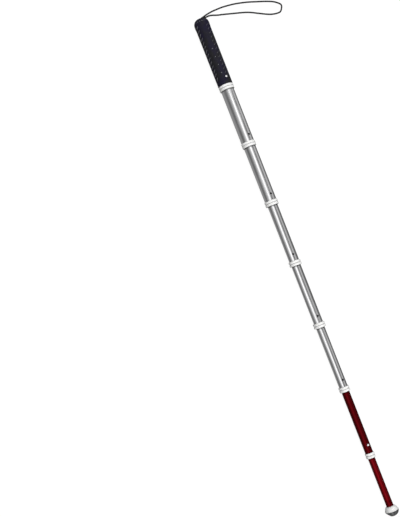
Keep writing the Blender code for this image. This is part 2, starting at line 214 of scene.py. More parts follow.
class CaneTipSettings(bpy.types.PropertyGroup):
    pad_colour: a_colour("Pad", "Colour of the domed pad", (0.038, 0.039, 0.041))
    neck_radius: a_length("Neck", "Radius at the tube", 0.0096)
    body_length: a_length("Body", "Length of the white body outside the tube", 0.0102)
    rim_length: a_length("Rim", "Length of the rim round the pad", 0.0014)
    rim_step: a_length("Rim step", "Rise of the rim over the flared body", 0.0008)
    wear_face_radius: a_length("Wear face", "Radius of the pad's flat end", 0.0032)
    flat_start: a_length("Worn from", "Distance from the pad's rim to its worn flat", 0.0008)
    flat_end: a_length("Worn to", "Distance from the cane's axis to the flat at the pad's end", 0.0042)
    nose_radius: a_length("Nose", "Radius of the nose that holds the pad", 0.0062)
    nose_length: a_length("Nose length", "Length of that nose", 0.0055)
    sides: a_count("Sides", "Facets round the tip", 96, 12)


class CaneCordSettings(bpy.types.PropertyGroup):
    colour: a_colour("Cord", "Colour of the braid", (0.004, 0.004, 0.0045))
    radius: a_length("Radius", "Radius of the cord", 0.00195)
    strands_apart: a_length("Strands apart", "Distance between the two strands", 0.0039)
    lay: a_length("Plait", "Length of one crossing of the braid", 0.0024)
    relief: a_length("Relief", "Height of the braid's strands", 0.00025)


class CaneStageSettings(bpy.types.PropertyGroup):
    lens: an_amount("Lens", "Focal length in millimetres on a 36 mm side", 60.0)
    camera_place: FloatVectorProperty(
        name="Camera",
        description="Place of the camera",
        subtype="TRANSLATION",
        default=(0.0644, -0.198, 1.977),
    )
    camera_tilt: an_angle("Tilt", "Lean of the view along the cane", 4.33)
    camera_turn: an_angle("Turn", "Turn of the picture", 69.07)
    floor_colour: a_colour("Floor", "Colour of the floor", (0.1, 0.1, 0.1))
    floor_glow: an_amount("Floor glow", "Light that the floor gives off", 0.92)
    key_strength: an_amount("Key", "Strength of the broad key light", 2.0)
    key_spread: an_angle("Key spread", "Width of the key light", 50)
    tent_strength: an_amount("Tent", "Strength of the light tent", 1.0)


class CaneSettings(bpy.types.PropertyGroup):
    grip: PointerProperty(type=CaneGripSettings)
    tube: PointerProperty(type=CaneTubeSettings)
    collar: PointerProperty(type=CaneCollarSettings)
    pin: PointerProperty(type=CanePinSettings)
    tip: PointerProperty(type=CaneTipSettings)
    cord: PointerProperty(type=CaneCordSettings)
    stage: PointerProperty(type=CaneStageSettings)


# Shapes

# How far a drill reaches from the axis, its facets, and the angle over which an edge stays sharp
DRILL_REACH = 0.021
DRILL_SIDES = 40
SHARP_OVER = 40.0


def placed(name, data):
    """A new object in the scene, for a mesh or other data."""
    obj = bpy.data.objects.new(name, data)
    bpy.context.scene.collection.objects.link(obj)
    return obj


def mesh_from(name, shape):
    """Turns a finished bmesh into a mesh."""
    mesh = bpy.data.meshes.new(name)
    shape.to_mesh(mesh)
    shape.free()
    return mesh


def object_from(name, shape, finish, smooth_under=SHARP_OVER):
    """Turns a finished bmesh into an object in the scene, smooth except over sharp edges."""
    mesh = mesh_from(name, shape)
    mesh.materials.append(finish)
    mesh.shade_smooth()
    mesh.set_sharp_from_angle(angle=math.radians(smooth_under))
    return placed(name, mesh)


def spun(places, centre, axis, sides, closed):
    """A skin that a line through these places makes as it is spun about an axis."""
    shape = bmesh.new()
    corners = [shape.verts.new(place) for place in places]
    edges = [shape.edges.new(pair) for pair in zip(corners, corners[1:])]
    if closed:
        edges.append(shape.edges.new((corners[-1], corners[0])))
    bmesh.ops.spin(
        shape, geom=corners + edges, cent=centre, axis=axis, angle=math.tau, steps=sides, use_merge=True
    )
    bmesh.ops.remove_doubles(shape, verts=shape.verts, dist=MERGE_DISTANCE)
    bmesh.ops.recalc_face_normals(shape, faces=shape.faces)
    return shape


def spin_outline(outline, sides, closed=True):
    """Spins an outline of (distance, radius) pairs about the cane's axis."""
    places = [(END_X + along, 0.0, AXIS_HEIGHT + radius) for along, radius in outline]
    return spun(places, AXIS, (1, 0, 0), sides, closed)


def with_modifiers_applied(obj):
    """Replaces the object's mesh by what its modifiers make of it."""
    graph = bpy.context.evaluated_depsgraph_get()
    applied = bpy.data.meshes.new_from_object(obj.evaluated_get(graph))
    obj.modifiers.clear()
    obj.data = applied


def round_edges(obj, width, angle=SHARP_OVER):
    """Adds a bevel to the edges that are sharper than angle."""
    bevel = obj.modifiers.new("edge", "BEVEL")
    bevel.width = width
    bevel.segments = 2
    bevel.profile = 0.5
    bevel.limit_method = "ANGLE"
    bevel.angle_limit = math.radians(angle)
    bevel.use_clamp_overlap = True


def drill_cutter(number, radius):
    """A cylinder from the axis outwards along pin number's line."""
    shape = bmesh.new()
    bmesh.ops.create_cone(
        shape, cap_ends=True, segments=DRILL_SIDES, radius1=radius, radius2=radius, depth=DRILL_REACH
    )
    bmesh.ops.translate(shape, verts=shape.verts, vec=(0.0, 0.0, DRILL_REACH / 2))
    stand_on_pin_line(shape, number)
    return placed("drill", mesh_from("drill", shape))


def drill(obj, pins, radius):
    """Cuts the holes of these pins through the object's wall."""
    cutters = [drill_cutter(number, radius) for number in pins]
    for cutter in cutters:
        boolean = obj.modifiers.new("pin hole", "BOOLEAN")
        boolean.operation = "DIFFERENCE"
        boolean.solver = "MANIFOLD"
        boolean.object = cutter
    with_modifiers_applied(obj)
    for cutter in cutters:
        bpy.data.objects.remove(cutter, do_unlink=True)
    obj.data.shade_smooth()
    obj.data.set_sharp_from_angle(angle=math.radians(SHARP_OVER))


def pin_x(number):
    """Where pin number stands along the cane."""
    low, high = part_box(f"lock_button_{number}")
    return (low.x + high.x) / 2


def pin_angle(number):
    """How far round from straight up pin number points."""
    corners = frame["nodes"][f"lock_button_{number}"].data.vertices
    middle = sum((corner.co for corner in corners), Vector()) / len(corners)
    return math.atan2(middle.y, middle.z - AXIS_HEIGHT)


def pin_direction(number):
    """The way that pin number points."""
    turn = pin_angle(number)
    return Vector((0.0, math.sin(turn), math.cos(turn)))


def pin_heights(node, number):
    """How far from the cane's axis a piece on pin number's line starts and ends."""
    outwards = pin_direction(number)
    heights = [(corner.co - AXIS).dot(outwards) for corner in frame["nodes"][node].data.vertices]
    return min(heights), max(heights)


def stand_on_pin_line(shape, number):
    """Moves a shape that stands upright on the origin to where pin number stands."""
    bmesh.ops.rotate(
        shape, verts=shape.verts, cent=(0, 0, 0), matrix=Matrix.Rotation(-pin_angle(number), 3, "X")
    )
    bmesh.ops.translate(shape, verts=shape.verts, vec=(pin_x(number), 0.0, AXIS_HEIGHT))


def go_in_with(obj):
    """Gives a piece a mesh of its own."""
    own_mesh(obj)


def hand_over(obj, node):
    """Lets the piece stand for its CAD node, on the node's body, and hides the node."""
    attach(obj, frame["nodes"][node]["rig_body"])
    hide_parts(node)


# Materials

# How tightly the rubber is hatched, how high that stands beside its grain, the shares of the rubber's own
# colour and of that colour's sum in its greyer patches, the colour of its dust and painted highlight, and how
# much lighter the cord's strands are painted than its hollows, as painted sheen and shade
HATCH_WAVES = 4200.0
HATCH_HEIGHT = 0.6
PATCH_SHARES = (0.15, 0.28)
DUST_AND_HIGHLIGHT_COLOUR = (0.22, 0.22, 0.235)
STRAND_SHEEN = 0.034


def node_group(name, inputs, outputs):
    """An empty shader node group with its sockets. Inputs are (name, type, default)."""
    group = bpy.data.node_groups.new(name, "ShaderNodeTree")
    for label, kind, default in inputs:
        socket = group.interface.new_socket(name=label, in_out="INPUT", socket_type=kind)
        if default is not None:
            socket.default_value = default
    for label, kind in outputs:
        group.interface.new_socket(name=label, in_out="OUTPUT", socket_type=kind)
    return group


def chain(tree, kind, inputs=None, **settings):
    """Adds a node, sets its properties and fills its inputs with values or links."""
    node = tree.nodes.new(kind)
    for key, value in settings.items():
        setattr(node, key, value)
    for key, value in (inputs or {}).items():
        socket = node.inputs[key]
        if isinstance(value, bpy.types.NodeSocket):
            tree.links.new(value, socket)
        else:
            socket.default_value = value
    return node


def calculated(tree, operation, *values):
    """What a Math node makes of these values."""
    return chain(tree, "ShaderNodeMath", dict(enumerate(values)), operation=operation).outputs[0]


def stretched_noise_group():
    """Noise stretched along the cane, as drawing and handling leave it. It puts out a value from 0 to 1."""
    group = node_group(
        "stretched noise",
        [
            ("Stretch", "NodeSocketVector", (1.0, 1.0, 1.0)),
            ("Scale", "NodeSocketFloat", 100.0),
            ("Low", "NodeSocketFloat", 0.35),
            ("High", "NodeSocketFloat", 0.65),
        ],
        [("Value", "NodeSocketFloat")],
    )
    start = group.nodes.new("NodeGroupInput")
    end = group.nodes.new("NodeGroupOutput")
    place = chain(group, "ShaderNodeTexCoord").outputs["Object"]
    stretch = chain(
        group, "ShaderNodeVectorMath", {0: place, 1: start.outputs["Stretch"]}, operation="MULTIPLY"
    )
    noise = chain(
        group,
        "ShaderNodeTexNoise",
        {"Vector": stretch.outputs[0], "Scale": start.outputs["Scale"], "Detail": 3.0, "Roughness": 0.55},
    )
    spread = chain(
        group,
        "ShaderNodeMapRange",
        {"Value": noise.outputs["Fac"], "From Min": start.outputs["Low"], "From Max": start.outputs["High"]},
    )
    group.links.new(spread.outputs["Result"], end.inputs["Value"])
    return group


def round_place_group():
    """Place on a turned piece: the distance round it in metres and the distance along it."""
    group = node_group(
        "place round the cane",
        [("Radius", "NodeSocketFloat", 0.017)],
        [("Round", "NodeSocketFloat"), ("Along", "NodeSocketFloat")],
    )
    start = group.nodes.new("NodeGroupInput")
    end = group.nodes.new("NodeGroupOutput")
    place = chain(group, "ShaderNodeTexCoord").outputs["Object"]
    centre = chain(group, "ShaderNodeMapping", {"Vector": place, "Location": (-END_X, 0.0, -AXIS_HEIGHT)})
    apart = chain(group, "ShaderNodeSeparateXYZ", {0: centre.outputs[0]})
    angle = calculated(group, "ARCTAN2", apart.outputs["Y"], apart.outputs["Z"])
    group.links.new(calculated(group, "MULTIPLY", angle, start.outputs["Radius"]), end.inputs["Round"])
    group.links.new(apart.outputs["X"], end.inputs["Along"])
    return group


def shared_group(name, build):
    return bpy.data.node_groups.get(name) or build()


def noise_value(tree, scale, along=1.0, across=1.0, low=0.35, high=0.65):
    """Noise from 0 to 1, drawn out along the cane or across it where that number is small."""
    group = shared_group("stretched noise", stretched_noise_group)
    values = {"Stretch": (along, across, 1.0), "Scale": scale, "Low": low, "High": high}
    node = chain(tree, "ShaderNodeGroup", node_tree=group)
    for name, value in values.items():
        node.inputs[name].default_value = value
    return node.outputs["Value"]


def shade(colour, share):
    """A darker or lighter shade of the colour."""
    return tuple(share * part for part in colour)


def mixed_colour(tree, factor, first, second):
    """The first colour where factor is 0, and the second where it is 1. The first may be a socket."""
    if not isinstance(first, bpy.types.NodeSocket):
        first = (*first, 1.0)
    return chain(tree, "ShaderNodeMix", {0: factor, 6: first, 7: (*second, 1.0)}, data_type="RGBA").outputs[2]


def mark(tree, name):
    """The value that the mesh carries under this name."""
    return chain(tree, "ShaderNodeAttribute", attribute_name=name).outputs["Fac"]


def between(tree, value, low, high):
    """A value from 0 to 1 carried into the range from low to high."""
    spread = chain(tree, "ShaderNodeMapRange", {"Value": value, "To Min": low, "To Max": high})
    return spread.outputs["Result"]


def bump(tree, height, distance):
    return chain(tree, "ShaderNodeBump", {"Height": height, "Distance": distance}).outputs["Normal"]


def new_look(name, **values):
    """A material with its Principled shader, whose plain values are set on the shader's own sockets."""
    made = bpy.data.materials.new(name)
    made.use_nodes = True
    shader = made.node_tree.nodes["Principled BSDF"]
    for key, value in values.items():
        shader.inputs[key.replace("_", " ")].default_value = value
    return made, made.node_tree, shader


def link_look(tree, shader, colour, roughness, normal):
    """Links a look's three patterns to its shader."""
    tree.links.new(colour, shader.inputs["Base Color"])
    tree.links.new(roughness, shader.inputs["Roughness"])
    tree.links.new(normal, shader.inputs["Normal"])


def tube_look(name, colour, roughness, spread):
    """Drawn and anodised tube, with faint lengthwise lines and a darker band of painted shade beside each
    collar.
    """
    made, tree, shader = new_look(name, Metallic=1.0)
    lines = noise_value(tree, 1800.0, along=0.02)
    clouds = noise_value(tree, 60.0, along=0.5)
    cloudy = mixed_colour(tree, clouds, shade(colour, 0.93), colour)
    darkened = mixed_colour(tree, mark(tree, "wear"), cloudy, shade(colour, 0.33))
    gloss = between(tree, clouds, roughness - spread, roughness + spread)
    link_look(tree, shader, darkened, gloss, bump(tree, lines, 4 * MICRON))
    return made


def nylon_look(name, colour):
    """White nylon, with a fine grain and painted shade in its grooves."""
    made, tree, shader = new_look(name, IOR=1.5, Subsurface_Weight=0.15, Subsurface_Scale=1.0)
    shader.inputs["Subsurface Radius"].default_value = (0.002, 0.002, 0.0018)
    clouds = noise_value(tree, 220.0)
    grain = noise_value(tree, 2600.0)
    cloudy = mixed_colour(tree, clouds, shade(colour, 0.95), colour)
    darkened = mixed_colour(tree, mark(tree, "soil"), cloudy, shade(colour, 0.45))
    link_look(tree, shader, darkened, between(tree, clouds, 0.32, 0.42), bump(tree, grain, 10 * MICRON))
    return made


def rubber_look(name, colour):
    """Moulded rubber: a fine grain, slanted hatching, greyer patches, and slots and dots painted dusty grey
    with a painted highlight.
    """
    made, tree, shader = new_look(name, IOR=1.5, Specular_IOR_Level=0.2)
    place = chain(tree, "ShaderNodeGroup", node_tree=shared_group("place round the cane", round_place_group))
    slanted = calculated(tree, "ADD", place.outputs["Round"], place.outputs["Along"])
    hatch = calculated(tree, "SINE", calculated(tree, "MULTIPLY", slanted, HATCH_WAVES))
    grain = noise_value(tree, 1500.0)
    clouds = noise_value(tree, 90.0, along=0.6)
    height = calculated(tree, "MULTIPLY_ADD", hatch, HATCH_HEIGHT, grain)
    own, grey = PATCH_SHARES
    greyer = tuple(own * part + grey * sum(colour) for part in colour)
    patches = noise_value(tree, 60.0, along=0.5, low=0.4, high=0.6)
    cloudy = mixed_colour(tree, patches, colour, greyer)
    dusty_and_lit = mixed_colour(tree, mark(tree, "dust"), cloudy, DUST_AND_HIGHLIGHT_COLOUR)
    link_look(tree, shader, dusty_and_lit, between(tree, clouds, 0.46, 0.6), bump(tree, height, 30 * MICRON))
    return made


def plain_look(name, colours, noise, roughness, height, **values):
    """A look whose colour, roughness and fine relief all follow one noise."""
    made, tree, shader = new_look(name, **values)
    pattern = noise_value(tree, **noise)
    colour = mixed_colour(tree, pattern, *colours)
    link_look(tree, shader, colour, between(tree, pattern, *roughness), bump(tree, pattern, height))
    return made


def steel_look(name, colour, roughness, metallic=1.0):
    colours = (shade(colour, 0.85), colour)
    gloss = (roughness * 0.8, roughness * 1.3)
    return plain_look(name, colours, {"scale": 700.0}, gloss, 6 * MICRON, Metallic=metallic)


def dark_plastic_look(name, colour):
    return plain_look(name, (colour, shade(colour, 1.4)), {"scale": 400.0}, (0.4, 0.55), 10 * MICRON)


def pad_look(name, colour):
    """Glossy dark pad, with fine scuffs."""
    scuffs = {"scale": 900.0, "across": 0.15, "low": 0.5, "high": 0.75}
    coat = {"IOR": 1.52, "Coat_Weight": 0.6, "Coat_Roughness": 0.05}
    return plain_look(name, (colour, shade(colour, 1.8)), scuffs, (0.1, 0.3), 4 * MICRON, **coat)


def braid_look(name, colour):
    """Woven cord, whose strands are painted lighter than the hollows between them, as painted sheen and
    shade.
    """
    made, tree, shader = new_look(name, Specular_IOR_Level=0.25)
    fibres = noise_value(tree, 2400.0)
    strands = mixed_colour(tree, mark(tree, "plait"), colour, tuple(part + STRAND_SHEEN for part in colour))
    link_look(tree, shader, strands, between(tree, fibres, 0.65, 0.85), bump(tree, fibres, 40 * MICRON))
    return made


def look(name):
    """A finished material by its name, built when it is first used."""
    cane = bpy.context.scene.cane
    tube = cane.tube
    builders = {
        "grip rubber": (rubber_look, cane.grip.colour),
        "silver tube": (tube_look, tube.silver, tube.silver_roughness, 0.03),
        "red tube": (tube_look, tube.red, tube.red_roughness, 0.04),
        # The red before the last tube is the same red painted darker, as painted shade
        "deep red tube": (tube_look, tube.deep_red, tube.red_roughness, 0.04),
        "white nylon": (nylon_look, cane.collar.colour),
        # One steel: whitish as a painted highlight on pins 1 and 7, dark as painted shade on the others
        "bright pin": (steel_look, cane.pin.colour, 0.22, 0.35),
        "dark pin": (steel_look, cane.pin.painted_shade_colour, 0.35),
        "spring wire": (steel_look, (0.45, 0.45, 0.46), 0.3),
        "inner plastic": (dark_plastic_look, (0.03, 0.03, 0.034)),
        "tip pad": (pad_look, cane.tip.pad_colour),
        "braided cord": (braid_look, cane.cord.colour),
    }
    build, *values = builders[name]
    return bpy.data.materials.get(name) or build(name, *values)


# Grip


def lofted_rings(rings, columns):
    """A skin through rings of (distance, radius, turn), and the face rows between them in column order."""
    shape = bmesh.new()
    bmesh.ops.create_circle(shape, cap_ends=False, segments=columns, radius=1.0)
    bmesh.ops.rotate(shape, verts=shape.verts, cent=(0, 0, 0), matrix=Matrix.Rotation(math.pi / 2, 3, "Y"))
    edges = list(shape.edges)
    rows = []
    turns = []
    last = (0.0, 1.0, 0.0)
    for number, (along, radius, turn) in enumerate(rings):
        if number:
            extruded = bmesh.ops.extrude_edge_only(shape, edges=edges)["geom"]
            edges = [item for item in extruded if isinstance(item, bmesh.types.BMEdge) and item.is_boundary]
            rows.append([item for item in extruded if isinstance(item, bmesh.types.BMFace)])
            turns.append((turn + last[2]) / 2)
        moved = list({corner for edge in edges for corner in edge.verts})
        ratio = radius / last[1]
        bmesh.ops.scale(shape, verts=moved, vec=(1.0, ratio, ratio))
        bmesh.ops.rotate(
            shape, verts=moved, cent=(0, 0, 0), matrix=Matrix.Rotation(turn - last[2], 3, "X")
        )
        bmesh.ops.translate(shape, verts=moved, vec=(along - last[0], 0.0, 0.0))
        last = (along, radius, turn)
    for faces, turn in zip(rows, turns):
        faces.sort(key=lambda face: column_angle(face, turn))
    return shape, rows


def column_angle(face, turn):
    """Where a face of a row stands round the cane, in the row's own columns."""
    middle = face.calc_center_median()
    return (math.atan2(middle.z, middle.y) - turn) % math.tau


# Rings of the closed end's dome, and which row from its edge holds a ring of dots
DOME_PARTS = 7
DOTTED_DOME_ROW = 3

# Rounding of the funnel's edge and of the mouth's, as (distance from the end, distance from the full radius)
FUNNEL_EDGE = (0.0006, 0.0007)
MOUTH_EDGE = ((0.0012, 0.0), (0.0003, 0.0003), (0.0, 0.0007))

# Distances from the sleeve's mouth to the end of its pattern and to the moulded groove near the mouth, and
# that groove's outline as (distance from its start, depth)
PATTERN_END = 0.0128
GROOVE_START = 0.0106
GROOVE = ((0.0, 0.0), (0.0004, 0.0004), (0.0012, 0.0004), (0.0016, 0.0))

# The sloping side of a slot, what is left round a dot of the dome, and how much wider the pin hole is in the
# rubber than in a tube
SLOT_SLOPE = 0.0002
DOME_DOT_MARGIN = 0.0008
RUBBER_HOLE_ROOM = 0.0004

# How strongly a slot is painted with grey dust and a painted highlight: on the cane's middle line, how much
# less one radius towards +Y, and at least. The last is the share of it that a dot of the dome has
DUST_AND_HIGHLIGHT_MIDDLE = 1.25
DUST_AND_HIGHLIGHT_FALL = 1.6
DUST_AND_HIGHLIGHT_LEAST = 0.2
DOME_DUST_AND_HIGHLIGHT = 0.5


def end_rings(grip, flare):
    """Rings of the closed end, from its cord hole over the funnel and the dome."""
    outline = [(grip.end_wall, grip.hole_radius), (grip.funnel_length + EDGE, grip.hole_radius)]
    outline.append((FUNNEL_EDGE[0], grip.funnel_radius - FUNNEL_EDGE[1]))
    for part in range(DOME_PARTS + 1):
        angle = math.pi / 2 * part / DOME_PARTS
        along = grip.dome_length * (1 - math.cos(angle))
        outline.append((along, grip.funnel_radius + (flare - grip.funnel_radius) * math.sin(angle)))
    return outline


def mouth_rings(grip, length):
    """Rings from the moulded groove round the mouth and back up the bore to the cord hole."""
    body = grip.body_radius
    bore = radius_of("handle_tube") + grip.wall_from_tube
    inner_step = ends_of("handle_tube")[0] - grip.wall_from_tube
    wall = grip.end_wall
    outline = [(length - GROOVE_START + along, body - depth) for along, depth in GROOVE]
    outline += [(length - along, body - lower) for along, lower in MOUTH_EDGE]
    outline += [(length, bore + FINE_EDGE), (length - EDGE, bore)]
    outline += [(inner_step + EDGE, bore), (inner_step, bore - EDGE)]
    outline += [(inner_step, grip.nose_bore + EDGE), (inner_step - EDGE, grip.nose_bore)]
    return outline + [(wall + EDGE, grip.nose_bore), (wall, grip.nose_bore - EDGE)]


def grip_rings(grip):
    """Rings of the sleeve from its cord hole to its mouth and back up its bore, and which rows hold slots."""
    length = ends_of("grip_sleeve")[1]
    flare = (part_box("grip_sleeve")[1].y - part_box("grip_sleeve")[0].y) / 2
    step = math.tau / grip.columns
    rings = [(along, radius, grip.pattern_turn) for along, radius in end_rings(grip, flare)]
    first_row = len(rings)
    rows = int((length - PATTERN_END - grip.pattern_start) / grip.row_length)
    for row in range(rows + 1):
        along = grip.pattern_start + row * grip.row_length
        eased = min(max((along - grip.flare_length) / grip.flare_ease, 0.0), 1.0)
        radius = grip.body_radius + (flare - grip.body_radius) * (1 + math.cos(math.pi * eased)) / 2
        rings.append((along, radius, grip.pattern_turn + step * row))
    last_turn = rings[-1][2]
    rings += [(along, radius, last_turn) for along, radius in mouth_rings(grip, length)]
    return rings, first_row, rows


def pattern_faces(rows, grip):
    """The faces that become slanted slots, and those that become dots beside every other slot."""
    slots = []
    dots = []
    block = grip.slot_rows + 1
    for row, faces in enumerate(rows):
        within = row % block
        whole = row - within + grip.slot_rows <= len(rows)
        for column, face in enumerate(faces):
            place = (column + row + 1) % grip.slot_repeat
            if whole and within < grip.slot_rows and place == (grip.slot_column + within) % grip.slot_repeat:
                slots.append(face)
            elif whole and row > grip.plain_rows and row % (2 * block) == 1 and place == grip.dot_column:
                dots.append(face)
    return slots, dots


def dust_and_highlight_at(across, grip):
    """How strongly a slot or dot is painted dusty grey with a painted highlight, up to 1. It is full on the
    -Y half and less towards +Y.
    """
    return min(1.0, max(DUST_AND_HIGHLIGHT_LEAST, DUST_AND_HIGHLIGHT_MIDDLE - DUST_AND_HIGHLIGHT_FALL * max(0.0, across) / grip.body_radius))


class CANE_OT_grip(bpy.types.Operator):
    """Build the moulded rubber sleeve of the handle"""

    bl_idname = "cane.grip"
    bl_label = "Grip"

    def execute(self, context):
        grip = context.scene.cane.grip
        rings, first_row, row_count = grip_rings(grip)
        shape, rows = lofted_rings(rings, grip.columns)
        slots, dots = pattern_faces(rows[first_row : first_row + row_count], grip)
        ring_dots = rows[first_row - DOTTED_DOME_ROW][::2]
        open_edges = [edge for edge in shape.edges if edge.is_boundary]
        bmesh.ops.bridge_loops(shape, edges=open_edges)
        bmesh.ops.recalc_face_normals(shape, faces=shape.faces)
        if shape.calc_volume(signed=True) < 0:
            bmesh.ops.reverse_faces(shape, faces=shape.faces)
        # Slots and dots carry grey dust and a painted highlight, strongest on the -Y half and less towards +Y
        dust = shape.verts.layers.float.new("dust")
        for faces, margin in ((slots, grip.slot_margin), (dots, grip.slot_margin / 2)):
            bmesh.ops.inset_region(shape, faces=faces, thickness=margin, use_even_offset=True)
            bmesh.ops.inset_region(
                shape, faces=faces, thickness=SLOT_SLOPE, depth=-grip.slot_depth, use_even_offset=True
            )
            for face in faces:
                for corner in face.verts:
                    corner[dust] = dust_and_highlight_at(corner.co.y, grip)
        bmesh.ops.inset_individual(shape, faces=ring_dots, thickness=DOME_DOT_MARGIN, use_even_offset=True)
        for corner in {corner for face in ring_dots for corner in face.verts}:
            corner[dust] = DOME_DUST_AND_HIGHLIGHT * dust_and_highlight_at(corner.co.y, grip)
        bmesh.ops.translate(shape, verts=shape.verts, vec=(END_X, 0.0, AXIS_HEIGHT))
        sleeve = object_from("grip_sleeve_moulded", shape, look("grip rubber"), 180.0)
        rounding = sleeve.modifiers.new("round", "SUBSURF")
        rounding.levels = 2
        rounding.render_levels = 2
        with_modifiers_applied(sleeve)
        drill(sleeve, [1], context.scene.cane.tube.hole_radius + RUBBER_HOLE_ROOM)
        round_edges(sleeve, EDGE, 50.0)
        hand_over(sleeve, "grip_sleeve")
        return {"FINISHED"}


# Tubes

# How far from a pin's middle a tube has a ring of corners of its own, and how strong
# the painted shade on a tube is at most where it meets a collar
BESIDE_HOLE = 0.004
MEETING_SHADE = 0.5


def collar_ends(number):
    return ends_of(f"collar_{number}") if 1 <= number <= SECTIONS else ends_of("tip_body")


def collar_shade_at(along, leaves, meets, length):
    """How much painted shade a tube carries: dark where it leaves a collar, and a little where it meets one.
    """
    leaving = (leaves + length - along) / (length / 2)
    meeting = (along - meets + length / 2) / length
    if along < leaves - MERGE_DISTANCE / 2:
        return 0.0
    return min(1.0, max(0.0, leaving, min(meeting, MEETING_SHADE)))


def tube_outline(node, wall, pins, collar_shade_marks):
    """A tube's section as a closed outline, with edge loops beside its pin holes and its rings of painted
    shade.
    """
    start, end = ends_of(node)
    radius = radius_of(node)
    beside_holes = {pin_x(number) - END_X + side for number in pins for side in (-BESIDE_HOLE, BESIDE_HOLE)}
    rings = sorted({start, end, *collar_shade_marks} | beside_holes)
    rings = [along for along in rings if start <= along <= end]
    return [(along, radius) for along in rings] + [(along, radius - wall) for along in reversed(rings)]


class CANE_OT_tubes(bpy.types.Operator):
    """Build the handle's inner tube and the seven tubes, with their pin holes"""

    bl_idname = "cane.tubes"
    bl_label = "Tubes"

    def execute(self, context):
        tube = context.scene.cane.tube
        for number in range(SECTIONS + 1):
            node = f"tube_{number}" if number else "handle_tube"
            pins = [pin for pin in (number, number + 1) if 1 <= pin <= SECTIONS]
            # The last tube and the one before it take one red, painted lighter and darker as painted light
            # and shade
            finish = {SECTIONS: "red tube", SECTIONS - 1: "deep red tube"}.get(number, "silver tube")
            wall = tube.wall if number else tube.handle_wall
            leaves = collar_ends(number)[1]
            meets = collar_ends(number + 1)[0]
            half = tube.collar_shade_length / 2
            collar_shade_marks = (leaves, leaves + half, leaves + 2 * half, meets - half, meets) if number else ()
            shape = spin_outline(tube_outline(node, wall, pins, collar_shade_marks), tube.sides)
            if number:
                # Each tube carries painted shade beside the collar that it leaves, and a little beside the
                # one that it meets
                worn = shape.verts.layers.float.new("wear")
                for corner in shape.verts:
                    corner[worn] = collar_shade_at(corner.co.x - END_X, leaves, meets, tube.collar_shade_length)
            barrel = object_from(node + "_drawn", shape, look(finish))
            drill(barrel, pins, tube.hole_radius)
            round_edges(barrel, tube.edge)
            hand_over(barrel, node)
        return {"FINISHED"}


# Collars

# How finely a band is rounded, and how full it is: 1 is a half ellipse, and less is fuller
BAND_STEPS = 12
BAND_FULLNESS = 0.6


def collar_outline(number, collar):
    """Two rounded bands with a groove between them, then the lip and the bore."""
    start, end = ends_of(f"collar_{number}")
    top = radius_of(f"collar_{number}")
    bore = radius_of(f"tube_{number - 1}" if number > 1 else "handle_tube") + GAP
    base = max(top - collar.band_height, bore + collar.groove_wall)
    lip_bore = radius_of(f"tube_{number}") + GAP
    half = (end - start - collar.groove) / 2
    outline = []
    for band_start in (start, start + half + collar.groove):
        middle = band_start + half / 2
        for step in range(BAND_STEPS + 1):
            angle = math.pi * step / BAND_STEPS
            swell = math.sin(angle) ** BAND_FULLNESS if 0 < step < BAND_STEPS else 0.0
            outline.append((middle - half / 2 * math.cos(angle), base + (top - base) * swell))
    ledge = end - collar.lip
    outline += [(end, lip_bore + EDGE), (end - EDGE, lip_bore), (ledge, lip_bore)]
    return outline + [(ledge, bore), (start + EDGE, bore), (start, bore + EDGE)]


class CANE_OT_collars(bpy.types.Operator):
    """Build the seven white collars"""

    bl_idname = "cane.collars"
    bl_label = "Collars"

    def execute(self, context):
        collar = context.scene.cane.collar
        for number in range(1, SECTIONS + 1):
            shape = spin_outline(collar_outline(number, collar), collar.sides)
            middle = END_X + sum(ends_of(f"collar_{number}")) / 2
            # The groove between the bands is marked for painted shade
            groove_shade_layer = shape.verts.layers.float.new("soil")
            for corner in shape.verts:
                corner[groove_shade_layer] = float(abs(corner.co.x - middle) < collar.groove / 2 + MERGE_DISTANCE)
            ring = object_from(f"collar_{number}_turned", shape, look("white nylon"), 50.0)
            hand_over(ring, f"collar_{number}")
        return {"FINISHED"}


# Locking pins

# Rounding of a pin's shoulder, and how finely its dome is rounded
SHOULDER_EDGE = 0.00015
PIN_DOME_STEPS = 10


def spun_on_pin_line(outline, number, sides):
    """Spins an outline of (height, radius) pairs about pin number's line."""
    places = [(radius, 0.0, height) for height, radius in outline]
    shape = spun(places, (0, 0, 0), (0, 0, 1), sides, False)
    stand_on_pin_line(shape, number)
    return shape


def pin_outline(pin, bottom, top):
    """A shoulder that stays inside the tube, and a shank with a domed end."""
    shoulder = bottom + pin.shoulder_length
    outline = [
        (bottom, 0.0),
        (bottom, pin.shoulder_radius - FINE_EDGE),
        (bottom + FINE_EDGE, pin.shoulder_radius),
        (shoulder - SHOULDER_EDGE, pin.shoulder_radius),
        (shoulder, pin.shoulder_radius - SHOULDER_EDGE),
        (shoulder, pin.radius),
    ]
    for step in range(PIN_DOME_STEPS + 1):
        angle = math.pi / 2 * step / PIN_DOME_STEPS
        outline.append((top - pin.dome * (1 - math.sin(angle)), pin.radius * math.cos(angle)))
    return outline


class CANE_OT_pins(bpy.types.Operator):
    """Build the seven sprung locking pins"""

    bl_idname = "cane.pins"
    bl_label = "Pins"

    def execute(self, context):
        pin = context.scene.cane.pin
        for number in range(1, SECTIONS + 1):
            node = f"lock_button_{number}"
            bottom, top = pin_heights(node, number)
            shape = spun_on_pin_line(pin_outline(pin, bottom, top), number, pin.sides)
            # Pins 1 and 7 get a whitish finish as a painted highlight, the others a dark finish as painted
            # shade
            bright = number in PAINTED_GLINT_PINS
            finish = look("bright pin" if bright else "dark pin")
            made = object_from(f"lock_button_{number}_domed", shape, finish)
            hand_over(made, node)
            go_in_with(made)
        return {"FINISHED"}


